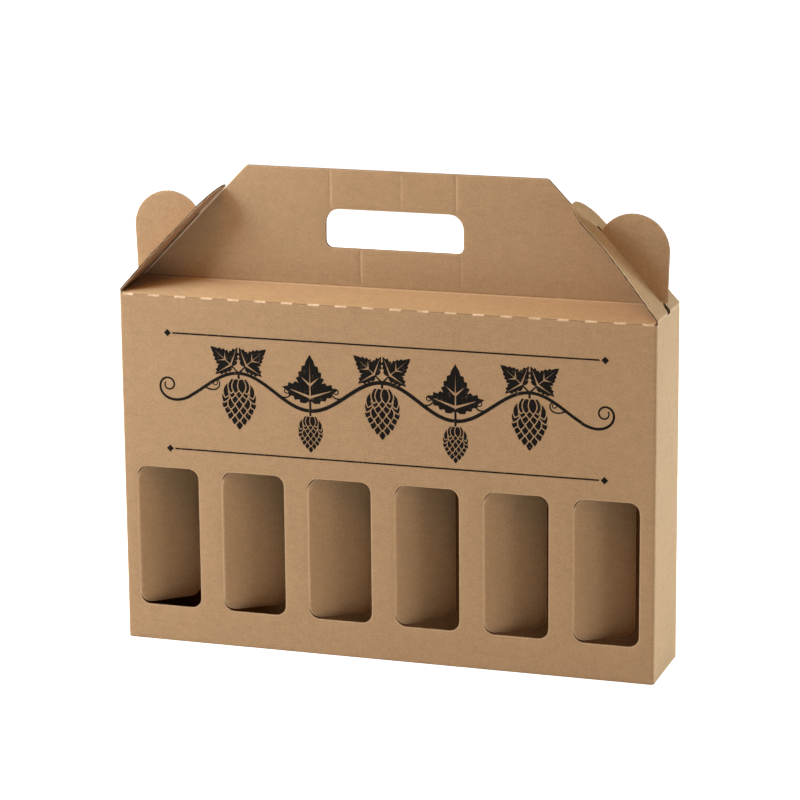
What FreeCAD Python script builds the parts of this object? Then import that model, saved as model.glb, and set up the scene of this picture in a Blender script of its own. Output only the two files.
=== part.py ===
import FreeCAD, Part
import math
import os

import Sketcher
from FreeCAD import Placement, Rotation, Vector

# A flat carrier for six bottles, folded from one blank of corrugated board.
# The origin is on the floor at the centre of the box, +X along its length, +Y to the back, +Z up.
# A distance "from the end" is measured inwards from either end of the box.

SIZES = (
    ("board", 1.5, "thickness of the corrugated board"),
    ("box_length", 412, "outside length of the box"),
    ("box_depth", 70, "outside depth of the box"),
    ("fold_height", 268.7, "height of the front and back top folds"),
    ("fold_round", 2, "outer radius of an upright or top fold"),
    ("floor_round", 1.6, "outer radius of the folds along the floor"),
    ("handle_fold", 276.5, "height of the creases where the handle rises from the roof"),
    ("handle_top", 363.5, "height of the handle"),
    ("handle_gap", 0.4, "gap between the two handle plies"),
    ("handle_inset", 7, "from the end to the foot of the handle"),
    ("shoulder_inset", 90, "from the end to the top corner of the handle"),
    ("handle_round", 5, "radius of the handle's top corners"),
    ("roof_inset", 1, "from the end to the roof panel, at the top fold"),
    ("grip_left", -54, "left edge of the hand hole"),
    ("grip_right", 52.5, "right edge of the hand hole"),
    ("grip_bottom", 304.8, "lower edge of the hand hole"),
    ("grip_top", 333.9, "upper edge of the hand hole"),
    ("grip_upper_round", 11, "radius of the hand hole's upper corners"),
    ("grip_lower_round", 5.5, "radius of the hand hole's lower corners"),
    ("ear_radius", 27, "radius of an ear"),
    ("ear_height", 314, "height of an ear's centre"),
    ("crease_height", 271.2, "height of the end flap creases"),
    ("crease_gap", 0.3, "gap beside a crease that turns"),
    ("end_half_width", 33, "half the width of an end panel above the top folds"),
    ("slit_front", -0.1, "front edge of the slit that an ear passes through"),
    ("slit_back", 3.5, "back edge of that slit"),
    ("slit_notch", 0.9, "depth of the slit in the end panel"),
    ("slit_end_round", 1.7, "radius of the slit's ends"),
    ("window_first", 10.7, "from the left end to the first window"),
    ("window_pitch", 68.1, "from one window to the next"),
    ("window_count", 6, "number of windows"),
    ("window_width", 49.3, "width of a window"),
    ("window_bottom", 27.8, "lower edge of the windows"),
    ("window_top", 136.3, "upper edge of the windows"),
    ("window_round", 8, "radius of a window's corners"),
    ("seam_width", 0.8, "gap between the two lower bottom panels"),
    ("seam_step", 9, "half the step where the lower bottom panels interlock"),
    ("seam_link", 24, "half the length of that step"),
    ("lap_panel_inset", 11, "from the outside to the upper bottom panel, along its long sides"),
    ("glue_lap_width", 30, "width of the glue lap inside the left end"),
    ("glue_lap_inset", 6, "from the floor or the top fold to the glue lap"),
    ("glue_seam", 0.4, "width of the seam where the blank's two ends meet"),
    ("cut_length", 11.5, "length of one cut of the perforated top folds"),
    ("cut_width", 0.6, "height of one cut"),
    ("cut_depth", 1.1, "depth of one cut"),
    ("cut_drop", 0.9, "from the top fold down to the middle of a cut"),
    ("cut_pitch", 21, "from one cut to the next"),
    ("cut_count", 19, "number of cuts along one fold"),
    ("flap_lean", 48, "slope of the end flaps, in degrees from level"),
    ("flap_length", 104, "from its crease to the end of an end flap"),
    ("flap_foot", 33.5, "half the width of an end flap at its crease"),
    ("flap_cheek", 32.5, "half its width where the taper starts"),
    ("flap_cheek_reach", 9, "from the crease to where the taper starts"),
    ("flap_neck_reach", 66, "from the crease to where the taper ends"),
    ("flap_head", 20.8, "half the width of its head"),
    ("flap_neck_round", 15, "radius where the taper meets the head"),
    ("flap_slit_reach", 80.5, "from the crease to the end of the slit"),
    ("window_flap_gap", 0.5, "gap round a window flap that lies in its window"),
    ("window_flap_round", 7.5, "radius of its free corners"),
    ("window_flap_root_round", 10, "radius of its corners beside the crease"),
    ("turn_1", 41, "how far window flap 1 is pushed in, in degrees"),
    ("turn_2", 35, "how far window flap 2 is pushed in"),
    ("turn_3", 31, "how far window flap 3 is pushed in"),
    ("turn_4", 40, "how far window flap 4 is pushed in"),
    ("turn_5", 33, "how far window flap 5 is pushed in"),
    ("turn_6", 35, "how far window flap 6 is pushed in"),
)
FRONT = -1
BACK = 1
LEFT = -1
RIGHT = 1

doc = FreeCAD.newDocument("bottle_carrier")
dims = doc.addObject("Spreadsheet::Sheet", "dims")
for row, (alias, size, meaning) in enumerate(SIZES, start=1):
    dims.set(f"A{row}", meaning)
    dims.set(f"B{row}", str(size))
    dims.setAlias(f"B{row}", alias)
doc.recompute()


# ---- sketches: every size is an expression of the sheet's cells ----

def new_body(label):
    """A PartDesign body whose label names the sub-part's file."""
    body = doc.addObject("PartDesign::Body", label)
    body.Label = label
    return body


def new_sketch(body, name, role, lift="0"):
    """A sketch on one of the body's own origin planes, moved by lift along the plane's normal."""
    sketch = body.newObject("Sketcher::SketchObject", name)
    plane = next(item for item in body.Origin.OriginFeatures if item.Role == role)
    sketch.AttachmentSupport = [(plane, "")]
    sketch.MapMode = "FlatFace"
    sketch.setExpression("AttachmentOffset.Base.z", lift)
    return sketch


def hold(sketch, geometry, point, across, up):
    """Holds one point of a sketch at its two distances from the sketch's origin."""
    for kind, size in (("DistanceX", across), ("DistanceY", up)):
        distance = float(sketch.evalExpression(size))
        index = sketch.addConstraint(Sketcher.Constraint(kind, -1, 1, geometry, point, distance))
        sketch.setExpression(f"Constraints[{index}]", size)


def hold_radius(sketch, geometry, radius):
    """Binds the radius of a circle or an arc."""
    value = float(sketch.evalExpression(radius))
    index = sketch.addConstraint(Sketcher.Constraint("Radius", geometry, value))
    sketch.setExpression(f"Constraints[{index}]", radius)


def circle(sketch, across, up, radius):
    """A circle with its centre and radius bound."""
    centre = Vector(float(sketch.evalExpression(across)), float(sketch.evalExpression(up)), 0)
    start_radius = float(sketch.evalExpression(radius))
    geometry = sketch.addGeometry(Part.Circle(centre, Vector(0, 0, 1), start_radius))
    hold(sketch, geometry, 3, across, up)
    hold_radius(sketch, geometry, radius)


def outline(sketch, corners):
    """A closed outline of straight lines through corners, each (across, up) or (across, up, radius)."""
    spots = [Vector(*(float(sketch.evalExpression(size)) for size in corner[:2]), 0) for corner in corners]
    ends = []
    for number, corner in enumerate(corners):
        spot = spots[number]
        back = (spots[number - 1] - spot).normalize()
        ahead = (spots[(number + 1) % len(spots)] - spot).normalize()
        if len(corner) == 2:
            ends.append((spot, spot, None))
            continue
        radius = float(sketch.evalExpression(corner[2]))
        half_angle = back.getAngle(ahead) / 2
        run = radius / math.tan(half_angle)
        centre = spot + (back + ahead).normalize() * (radius / math.sin(half_angle))
        turns_left = back.cross(ahead).z < 0
        limits = (spot + back * run, spot + ahead * run)
        first, last = limits if turns_left else reversed(limits)
        angles = [math.atan2(limit.y - centre.y, limit.x - centre.x) for limit in (first, last)]
        arc = Part.ArcOfCircle(Part.Circle(centre, Vector(0, 0, 1), radius), *angles)
        geometry = sketch.addGeometry(arc)
        hold_radius(sketch, geometry, corner[2])
        ends.append((*limits, (geometry, 1 if turns_left else 2, 2 if turns_left else 1)))
    lines = []
    for number, (_, start, _) in enumerate(ends):
        stop = ends[(number + 1) % len(ends)][0]
        lines.append(sketch.addGeometry(Part.LineSegment(start, stop)))
    for number, corner in enumerate(corners):
        before = lines[number - 1]
        after = lines[number]
        rounded = ends[number][2]
        if rounded is None:
            sketch.addConstraint(Sketcher.Constraint("Coincident", before, 2, after, 1))
            hold(sketch, after, 1, corner[0], corner[1])
            continue
        arc, arc_in, arc_out = rounded
        sketch.addConstraint(Sketcher.Constraint("Tangent", before, 2, arc, arc_in))
        sketch.addConstraint(Sketcher.Constraint("Tangent", arc, arc_out, after, 1))
        sharp = sketch.addGeometry(Part.Point(spots[number]), True)
        sketch.addConstraint(Sketcher.Constraint("PointOnObject", sharp, 1, before))
        sketch.addConstraint(Sketcher.Constraint("PointOnObject", sharp, 1, after))
        hold(sketch, sharp, 1, corner[0], corner[1])


def box_outline(sketch, half_width, half_height, radius=None):
    """A rectangle about the sketch's origin, with its corners rounded if a radius is given."""
    signs = ((-1, -1), (1, -1), (1, 1), (-1, 1))
    rounding = (radius,) if radius else ()
    outline(sketch, [(f"{a} * ({half_width})", f"{b} * ({half_height})", *rounding) for a, b in signs])


# ---- features ----

def extrude(body, kind, name, sketch, length, reverse=False, both_ways=False):
    """A pad or a pocket of a sketch. A pad must add material and a pocket must take some away."""
    before = body.Tip.Shape.Volume if body.Tip else 0
    feature = body.newObject(f"PartDesign::{kind}", name)
    feature.Profile = sketch
    feature.setExpression("Length", length)
    feature.Reversed = reverse
    if both_ways:
        feature.SideType = "Symmetric"
    doc.recompute()
    change = feature.Shape.Volume - before
    if (change > 0) != (kind == "Pad"):
        raise RuntimeError(f"{name} changed the volume by {change:.3f} mm3")
    return feature


def pad(body, name, sketch, length, **options):
    return extrude(body, "Pad", name, sketch, length, **options)


def pocket(body, name, sketch, length, **options):
    return extrude(body, "Pocket", name, sketch, length, **options)


def in_a_row(body, name, feature, pitch, count):
    """Repeats a feature along its sketch's horizontal axis."""
    row = body.newObject("PartDesign::LinearPattern", name)
    row.Originals = [feature]
    row.Direction = (feature.Profile[0], ["H_Axis"])
    row.Mode = "Spacing"
    row.setExpression("Offset", pitch)
    row.setExpression("Occurrences", count)
    body.Tip = row
    doc.recompute()
    return row


# ---- the carton: walls, bottom, roof and handle, one folded and glued sheet ----

HALF_LENGTH = "dims.box_length / 2"
HALF_DEPTH = "dims.box_depth / 2"
PLY_OUTSIDE = "(dims.handle_gap / 2 + dims.board)"
ROOF_SLOPE = f"((dims.handle_fold - dims.fold_height) / ({HALF_DEPTH} - {PLY_OUTSIDE}))"
ROOF_THICKNESS = f"(dims.board * sqrt(1 + {ROOF_SLOPE}^2))"
WALL_TOP = "(dims.fold_height - dims.fold_round)"


def add_walls(carton):
    """Four upright panels with rounded folds, up to where the top folds begin."""
    walls = new_sketch(carton, "walls_outline", "XY_Plane")
    box_outline(walls, HALF_LENGTH, HALF_DEPTH, "dims.fold_round")
    inner_round = "dims.fold_round - dims.board"
    box_outline(walls, f"{HALF_LENGTH} - dims.board", f"{HALF_DEPTH} - dims.board", inner_round)
    pad(carton, "walls", walls, WALL_TOP)


def add_roof_panel(carton, side):
    """One top fold and the sloping panel from it to the handle's crease, seen from the end."""
    name = "front_roof" if side == FRONT else "back_roof"
    outside = HALF_DEPTH
    inside = f"({HALF_DEPTH} - dims.board)"
    ply_inside = "(dims.handle_gap / 2)"
    inner_round = "dims.fold_round - dims.board"
    under_fold = f"dims.fold_height + {ROOF_SLOPE} * dims.board - {ROOF_THICKNESS}"
    under_handle = f"dims.handle_fold + {ROOF_SLOPE} * dims.board - {ROOF_THICKNESS}"
    section = new_sketch(carton, f"{name}_section", "YZ_Plane")
    outline(section, [
        (f"{side} * {outside}", f"{WALL_TOP} - dims.board"),
        (f"{side} * {outside}", "dims.fold_height", "dims.fold_round"),
        (f"{side} * {PLY_OUTSIDE}", "dims.handle_fold"),
        (f"{side} * {ply_inside}", "dims.handle_fold"),
        (f"{side} * {ply_inside}", under_handle, "dims.board * 0.6"),
        (f"{side} * {inside}", under_fold, inner_round),
        (f"{side} * {inside}", f"{WALL_TOP} - dims.board"),
    ])
    pad(carton, name, section, "dims.box_length - 2 * dims.roof_inset", both_ways=True)


def trim_roof_ends(carton):
    """The roof panels narrow towards the handle, which keeps them clear of the end flaps."""
    over_roof = "dims.handle_fold + dims.board"
    trim = new_sketch(carton, "roof_trim_outline", "XY_Plane", over_roof)
    fold_end = f"{HALF_LENGTH} - dims.roof_inset"
    handle_end = f"{HALF_LENGTH} - dims.handle_inset"
    for end in (LEFT, RIGHT):
        outline(trim, [
            (f"{end} * ({fold_end})", f"-{HALF_DEPTH}"),
            (f"{end} * ({handle_end})", f"-{PLY_OUTSIDE}"),
            (f"{end} * ({handle_end})", PLY_OUTSIDE),
            (f"{end} * ({fold_end})", HALF_DEPTH),
            (f"{end} * ({HALF_LENGTH})", HALF_DEPTH),
            (f"{end} * ({HALF_LENGTH})", f"-{HALF_DEPTH}"),
        ])
    pocket(carton, "roof_trim", trim, f"{over_roof} - {WALL_TOP}")


def add_handle_ply(carton, side):
    """One upright ply of the handle, a trapezium with the hand hole in it."""
    name = "front_handle" if side == FRONT else "back_handle"
    ply = new_sketch(carton, f"{name}_outline", "XZ_Plane", f"{-side} * dims.handle_gap / 2")
    foot = f"({HALF_LENGTH} - dims.handle_inset)"
    top = f"({HALF_LENGTH} - dims.shoulder_inset)"
    outline(ply, [
        (f"-{foot}", "dims.handle_fold"),
        (foot, "dims.handle_fold"),
        (top, "dims.handle_top", "dims.handle_round"),
        (f"-{top}", "dims.handle_top", "dims.handle_round"),
    ])
    outline(ply, [
        ("dims.grip_left", "dims.grip_bottom", "dims.grip_lower_round"),
        ("dims.grip_right", "dims.grip_bottom", "dims.grip_lower_round"),
        ("dims.grip_right", "dims.grip_top", "dims.grip_upper_round"),
        ("dims.grip_left", "dims.grip_top", "dims.grip_upper_round"),
    ])
    pad(carton, name, ply, "dims.board", reverse=side == BACK)


def add_ears(carton):
    """The back ply alone carries an ear at each end, which the end flap's slit goes over."""
    outer = HALF_LENGTH
    middle = f"({HALF_LENGTH} - dims.ear_radius)"
    back_ply = "-dims.handle_gap / 2"
    posts = new_sketch(carton, "ear_posts_outline", "XZ_Plane", back_ply)
    discs = new_sketch(carton, "ear_discs_outline", "XZ_Plane", back_ply)
    for end in (LEFT, RIGHT):
        outline(posts, [
            (f"{end} * {middle}", "dims.handle_fold"),
            (f"{end} * {outer}", "dims.handle_fold"),
            (f"{end} * {outer}", "dims.ear_height"),
            (f"{end} * {middle}", "dims.ear_height"),
        ])
        circle(discs, f"{end} * {middle}", "dims.ear_height", "dims.ear_radius")
    pad(carton, "ear_posts", posts, "dims.board", reverse=True)
    pad(carton, "ear_discs", discs, "dims.board", reverse=True)


def add_end_top(carton, end):
    """An end panel stands a little higher than the top folds and ends at the end flap's crease."""
    name = "left_end_top" if end == LEFT else "right_end_top"
    top = "(dims.crease_height - dims.board / 2 - dims.crease_gap)"
    notch = f"{top} - dims.slit_notch"
    panel = new_sketch(carton, f"{name}_outline", "YZ_Plane", f"{end} * ({HALF_LENGTH} - dims.board)")
    outline(panel, [
        ("-dims.end_half_width", f"{WALL_TOP} - dims.board"),
        ("dims.end_half_width", f"{WALL_TOP} - dims.board"),
        ("dims.end_half_width", top),
        ("dims.slit_back", top),
        ("dims.slit_back", notch, "dims.slit_notch / 2"),
        ("dims.slit_front", notch, "dims.slit_notch / 2"),
        ("dims.slit_front", top),
        ("-dims.end_half_width", top),
    ])
    pad(carton, name, panel, "dims.board", reverse=end == LEFT)


def add_bottom(carton):
    """Two lower panels that interlock along a stepped seam, and the panel lapped over them inside."""
    lower = new_sketch(carton, "lower_bottom_outline", "XY_Plane")
    box_outline(lower, f"{HALF_LENGTH} - dims.board / 2", f"{HALF_DEPTH} - dims.board / 2")
    pad(carton, "lower_bottom", lower, "dims.board")
    upper = new_sketch(carton, "upper_bottom_outline", "XY_Plane", "dims.board")
    box_outline(upper, f"{HALF_LENGTH} - dims.board / 2", f"{HALF_DEPTH} - dims.lap_panel_inset")
    pad(carton, "upper_bottom", upper, "dims.board")
    seam_end = f"({HALF_LENGTH} - 2 * dims.board)"
    seam = new_sketch(carton, "bottom_seam_outline", "XY_Plane")
    above = "(dims.seam_step + dims.seam_width / 2)"
    below = "(dims.seam_step - dims.seam_width / 2)"
    outline(seam, [
        (f"-{seam_end}", below),
        ("-dims.seam_link", below),
        ("dims.seam_link", f"-{above}"),
        (seam_end, f"-{above}"),
        (seam_end, f"-{below}"),
        ("dims.seam_link + dims.seam_width", f"-{below}"),
        ("dims.seam_width - dims.seam_link", above),
        (f"-{seam_end}", above),
    ])
    pocket(carton, "bottom_seam", seam, "dims.board", reverse=True)


def round_floor_folds(carton):
    """The folds along the floor are rounded on the outside."""
    base = carton.Tip
    half_length = float(dims.box_length) / 2
    half_depth = float(dims.box_depth) / 2
    rim = []
    for number, edge in enumerate(base.Shape.Edges, start=1):
        spread = edge.BoundBox
        on_floor = abs(spread.ZMin) + abs(spread.ZMax) < 1e-6
        at_end = max(-spread.XMin, spread.XMax) > half_length - 1e-6
        at_side = max(-spread.YMin, spread.YMax) > half_depth - 1e-6
        if on_floor and (at_end or at_side):
            rim.append(f"Edge{number}")
    folds = carton.newObject("PartDesign::Fillet", "floor_folds")
    folds.Base = (base, rim)
    folds.setExpression("Radius", "dims.floor_round")
    doc.recompute()


def cut_windows(carton):
    """Six rounded windows through the front panel."""
    window = new_sketch(carton, "window_outline", "XZ_Plane", f"{HALF_DEPTH} - 2 * dims.board")
    left = f"(dims.window_first - {HALF_LENGTH})"
    right = f"({left} + dims.window_width)"
    outline(window, [
        (left, "dims.window_bottom", "dims.window_round"),
        (right, "dims.window_bottom", "dims.window_round"),
        (right, "dims.window_top", "dims.window_round"),
        (left, "dims.window_top", "dims.window_round"),
    ])
    first = pocket(carton, "first_window", window, "2 * dims.board", reverse=True)
    in_a_row(carton, "windows", first, "dims.window_pitch", "dims.window_count")


def cut_perforations(carton, side):
    """Short cuts through the outside of a top fold let it bend sharply."""
    name = "front_cut" if side == FRONT else "back_cut"
    cut = new_sketch(carton, f"{name}_outline", "XZ_Plane", f"{-side} * ({HALF_DEPTH} - dims.cut_depth)")
    start = "(-(dims.cut_count - 1) * dims.cut_pitch / 2)"
    middle = "(dims.fold_height - dims.cut_drop)"
    left = f"{start} - dims.cut_length / 2"
    right = f"{start} + dims.cut_length / 2"
    low = f"{middle} - dims.cut_width / 2"
    high = f"{middle} + dims.cut_width / 2"
    outline(cut, [(left, low), (right, low), (right, high), (left, high)])
    first = pocket(carton, name, cut, "2 * dims.cut_depth", reverse=side == FRONT)
    in_a_row(carton, f"{name}s", first, "dims.cut_pitch", "dims.cut_count")


def add_glue_lap(carton):
    """The blank's two ends meet at the back left fold, over a lap glued inside the left end panel."""
    inner_face = f"(dims.board - {HALF_LENGTH})"
    lap = new_sketch(carton, "glue_lap_outline", "YZ_Plane", inner_face)
    back = f"({HALF_DEPTH} - dims.board)"
    front = f"({back} - dims.glue_lap_width)"
    low = "dims.glue_lap_inset"
    high = f"({WALL_TOP} - dims.glue_lap_inset)"
    outline(lap, [
        (back, low),
        (back, high),
        (front, f"{high} - dims.glue_lap_width / 2"),
        (front, f"{low} + dims.glue_lap_width / 2"),
    ])
    pad(carton, "glue_lap", lap, "dims.board")
    seam = new_sketch(carton, "glue_seam_outline", "YZ_Plane", inner_face)
    seam_back = f"({back} - dims.glue_seam)"
    outline(seam, [(seam_back, low), (back, low), (back, WALL_TOP), (seam_back, WALL_TOP)])
    pocket(carton, "glue_seam_cut", seam, "dims.board")


def make_carton():
    """The folded sheet, without the flaps that turn by themselves."""
    carton = new_body("carton")
    add_walls(carton)
    for side in (FRONT, BACK):
        add_roof_panel(carton, side)
    trim_roof_ends(carton)
    for side in (FRONT, BACK):
        add_handle_ply(carton, side)
    add_ears(carton)
    for end in (LEFT, RIGHT):
        add_end_top(carton, end)
    add_bottom(carton)
    round_floor_folds(carton)
    cut_windows(carton)
    for side in (FRONT, BACK):
        cut_perforations(carton, side)
    add_glue_lap(carton)
    return carton


# ---- the flaps: each is drawn flat about its crease and then turned to where it rests ----

def make_end_flap(end):
    """A tapered flap with a round head. Its crease is the body's Y axis, and it reaches along X."""
    flap = new_body("end_flap_left" if end == LEFT else "end_flap_right")
    plate = new_sketch(flap, "plate_outline", "XY_Plane")
    half = [
        ("0", "dims.flap_foot"),
        ("dims.flap_cheek_reach", "dims.flap_cheek"),
        ("dims.flap_neck_reach", "dims.flap_head", "dims.flap_neck_round"),
        ("dims.flap_length", "dims.flap_head", "dims.flap_head * 0.99"),
    ]
    mirrored = [(along, f"-{width}", *rounding) for along, width, *rounding in reversed(half)]
    outline(plate, half + mirrored)
    pad(flap, "plate", plate, "dims.board", both_ways=True)
    roll = new_sketch(flap, "crease_outline", "XZ_Plane")
    circle(roll, "0", "0", "dims.board / 2")
    pad(flap, "crease", roll, "2 * dims.flap_foot", both_ways=True)
    slit = new_sketch(flap, "slit_outline", "XY_Plane")
    outline(slit, [
        ("-dims.board", "dims.slit_front"),
        ("dims.flap_slit_reach", "dims.slit_front", "dims.slit_end_round"),
        ("dims.flap_slit_reach", "dims.slit_back", "dims.slit_end_round"),
        ("-dims.board", "dims.slit_back"),
    ])
    pocket(flap, "slit", slit, "2 * dims.board", both_ways=True)
    lean = f"90 + {end} * (90 + dims.flap_lean)"
    flap.Placement = Placement(Vector(0, 0, 0), Rotation(Vector(0, 1, 0), 1))
    flap.setExpression("Placement.Base.x", f"{end} * ({HALF_LENGTH} - dims.board / 2)")
    flap.setExpression("Placement.Base.z", "dims.crease_height")
    flap.setExpression("Placement.Rotation.Angle", lean)
    return flap


def make_window_flap(number):
    """A window's own cut-out, still joined along its left edge. Its crease is the body's Z axis."""
    flap = new_body(f"window_flap_{number}")
    crease_inset = "(dims.crease_gap + dims.board / 2)"
    reach = f"(dims.window_width - {crease_inset} - dims.window_flap_gap)"
    low = "(dims.window_bottom + dims.window_flap_gap)"
    high = "(dims.window_top - dims.window_flap_gap)"
    root_low = f"({low} + dims.window_flap_root_round)"
    root_high = f"({high} - dims.window_flap_root_round)"
    plate = new_sketch(flap, "plate_outline", "XZ_Plane")
    outline(plate, [
        ("0", low, "dims.window_flap_root_round"),
        (reach, low, "dims.window_flap_round"),
        (reach, high, "dims.window_flap_round"),
        ("0", high, "dims.window_flap_root_round"),
    ])
    pad(flap, "plate", plate, "dims.board", both_ways=True)
    roll = new_sketch(flap, "crease_outline", "XY_Plane", root_low)
    circle(roll, "0", "0", "dims.board / 2")
    pad(flap, "crease", roll, f"{root_high} - {root_low}")
    left = f"dims.window_first + {number - 1} * dims.window_pitch - {HALF_LENGTH}"
    flap.Placement = Placement(Vector(0, 0, 0), Rotation(Vector(0, 0, 1), 1))
    flap.setExpression("Placement.Base.x", f"{left} + {crease_inset}")
    flap.setExpression("Placement.Base.y", f"dims.board / 2 - {HALF_DEPTH}")
    flap.setExpression("Placement.Rotation.Angle", f"dims.turn_{number}")
    return flap


sub_parts = [make_carton()]
sub_parts += [make_end_flap(end) for end in (LEFT, RIGHT)]
sub_parts += [make_window_flap(number) for number in range(1, int(dims.window_count) + 1)]
doc.recompute()

for item in doc.Objects:
    if "Invalid" in item.State or "Error" in item.State:
        raise RuntimeError(f"{item.Label} did not compute")
for sub_part in sub_parts:
    shape = sub_part.Shape
    if shape.isNull() or not shape.isValid() or len(shape.Solids) != 1:
        raise RuntimeError(f"{sub_part.Label} is not one valid solid")

os.makedirs("parts", exist_ok=True)
for sub_part in sub_parts:
    sub_part.Shape.exportStep(f"parts/{sub_part.Label}.step")
    size = sub_part.Shape.BoundBox
    print(f"{sub_part.Label}: {sub_part.Shape.Volume / 1000:.1f} cm3, "
          f"x {size.XMin:.2f} to {size.XMax:.2f}, y {size.YMin:.2f} to {size.YMax:.2f}, "
          f"z {size.ZMin:.2f} to {size.ZMax:.2f}")
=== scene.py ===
import math

import bpy
import numpy as np
from mathutils import Matrix, Vector, geometry


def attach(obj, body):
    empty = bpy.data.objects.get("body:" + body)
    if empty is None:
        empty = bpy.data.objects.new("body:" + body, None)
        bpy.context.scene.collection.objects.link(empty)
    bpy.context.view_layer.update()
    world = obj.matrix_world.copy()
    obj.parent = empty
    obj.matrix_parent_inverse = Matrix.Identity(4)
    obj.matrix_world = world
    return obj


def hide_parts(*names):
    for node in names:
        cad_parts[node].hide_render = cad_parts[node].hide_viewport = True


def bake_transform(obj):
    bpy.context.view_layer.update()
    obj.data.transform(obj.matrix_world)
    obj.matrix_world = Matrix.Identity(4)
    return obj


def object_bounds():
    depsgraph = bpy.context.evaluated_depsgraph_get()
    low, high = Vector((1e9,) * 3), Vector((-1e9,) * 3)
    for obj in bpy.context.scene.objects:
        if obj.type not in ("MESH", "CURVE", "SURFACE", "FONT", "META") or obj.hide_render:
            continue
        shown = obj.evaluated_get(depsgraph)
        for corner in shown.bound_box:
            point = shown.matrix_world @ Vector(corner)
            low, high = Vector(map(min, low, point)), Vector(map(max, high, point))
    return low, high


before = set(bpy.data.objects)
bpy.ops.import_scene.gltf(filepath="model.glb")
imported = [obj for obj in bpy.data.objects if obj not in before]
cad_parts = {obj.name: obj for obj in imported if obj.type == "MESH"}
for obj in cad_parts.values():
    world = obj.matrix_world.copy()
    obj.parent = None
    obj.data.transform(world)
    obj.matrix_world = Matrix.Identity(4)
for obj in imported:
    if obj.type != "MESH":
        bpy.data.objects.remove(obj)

cad_low, cad_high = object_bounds()


# ---- the view: a long lens from the front, a little above and to the right ----
# The whole carrier is in view, with its right end just in sight.
# The camera leans by half a degree, as one held on a stand by hand does.

view_turn = math.radians(18.14)
view_drop = math.radians(13.75)
view_lean = math.radians(-0.511)
camera_spot = Vector((0.7382, -2.2464, 0.7705))
looking = Vector((
    -math.sin(view_turn) * math.cos(view_drop),
    math.cos(view_turn) * math.cos(view_drop),
    -math.sin(view_drop),
))
level_right = looking.cross(Vector((0, 0, 1))).normalized()
level_up = level_right.cross(looking)
camera_right = math.cos(view_lean) * level_right + math.sin(view_lean) * level_up
camera_up = math.cos(view_lean) * level_up - math.sin(view_lean) * level_right

camera_data = bpy.data.cameras.new("camera")
camera_data.lens = 147.6
camera_data.sensor_width = 36
camera_data.clip_start = 0.1
camera_data.clip_end = 60
camera = bpy.data.objects.new("camera", camera_data)
bpy.context.scene.collection.objects.link(camera)
bpy.context.scene.camera = camera
turned = Matrix((camera_right, camera_up, -looking)).transposed()
camera.matrix_world = Matrix.Translation(camera_spot) @ turned.to_4x4()


# ---- the carton: one sheet of fine-fluted kraft board, die-cut, creased, folded and glued ----
# Four walls, the two roof panels, the two handle plies, the bottom flaps and the glue lap are
# all one blank. It is cut flat here with its windows and hand holes, then folded up.

half_length = cad_high.x
half_depth = cad_high.y
handle_top = cad_high.z
board = 0.0015
liner = 0.00025
liner_lip = 0.00006
edge_recess = 0.00010
rim_band_width = 0.0010
line_reach = 0.0004
pinch = 0.00016
smallest_rimmed = 0.0001
fold_round = 0.002
floor_round = 0.0016
fold_height = 0.2687
handle_fold = 0.2765
ply_outside = 0.0017
handle_crease_round = 0.0003
onward = 0.3


def bend(turn, radius):
    """One bend of a fold line: its length along the outside, and how far it turns."""
    return abs(math.radians(turn)) * radius, math.radians(turn)


class FoldLine:
    """A folded sheet seen edge on: runs and bends along its outer face, one after another."""

    def __init__(self, start, heading, steps, first=0.0):
        spot, angle, along = np.array(start, float), math.radians(heading), first
        runs = []
        for length, turn in steps:
            runs.append((along, *spot, angle, turn / length))
            middle = angle + turn / 2
            chord = length if turn == 0 else length * math.sin(turn / 2) / (turn / 2)
            spot = spot + chord * np.array([math.cos(middle), math.sin(middle)])
            angle += turn
            along += length
        self.runs = np.array(runs)

    def at(self, along):
        """Where points at these distances are, and which way the outer face looks there."""
        along = np.asarray(along, float)
        number = np.searchsorted(self.runs[:, 0], along, "right") - 1
        run = self.runs[np.clip(number, 0, len(self.runs) - 1)]
        ahead = along - run[:, 0]
        start, curve = run[:, 3], run[:, 4]
        now = start + curve * ahead
        straight = np.abs(curve) < 1e-9
        curve = np.where(straight, 1.0, curve)
        right = np.where(straight, ahead * np.cos(start), (np.sin(now) - np.sin(start)) / curve)
        up = np.where(straight, ahead * np.sin(start), (np.cos(start) - np.cos(now)) / curve)
        spots = run[:, 1:3] + np.stack([right, up], 1)
        return spots, np.stack([np.sin(now), -np.cos(now)], 1)


def rounded(corners, steps=7):
    """A closed outline from corners (across, up, radius), with the radius left out where it is sharp."""
    made = []
    for number, corner in enumerate(corners):
        here = np.array(corner[:2])
        radius = corner[2] if len(corner) > 2 else 0
        if not radius:
            made.append(tuple(here))
            continue
        back = np.array(corners[number - 1][:2]) - here
        ahead = np.array(corners[(number + 1) % len(corners)][:2]) - here
        back /= np.linalg.norm(back)
        ahead /= np.linalg.norm(ahead)
        half = math.acos(np.clip(back @ ahead, -1, 1)) / 2
        middle = here + (back + ahead) / np.linalg.norm(back + ahead) * radius / math.sin(half)
        first = here + back * radius / math.tan(half) - middle
        last = here + ahead * radius / math.tan(half) - middle
        sweep = math.atan2(first[0] * last[1] - first[1] * last[0], first @ last)
        aside = np.array([-first[1], first[0]])
        for step in range(steps + 1):
            turn = sweep * step / steps
            made.append(tuple(middle + first * math.cos(turn) + aside * math.sin(turn)))
    return made


def divided(loop, spacing, closed=True):
    """The same line with its long stretches divided."""
    made = []
    last = len(loop) if closed else len(loop) - 1
    for number in range(last):
        a, b = np.array(loop[number]), np.array(loop[(number + 1) % len(loop)])
        parts = max(1, math.ceil(np.linalg.norm(b - a) / spacing - 1e-6))
        made += [tuple(a + (b - a) * part / parts) for part in range(parts)]
    return made if closed else made + [tuple(loop[-1])]


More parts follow.
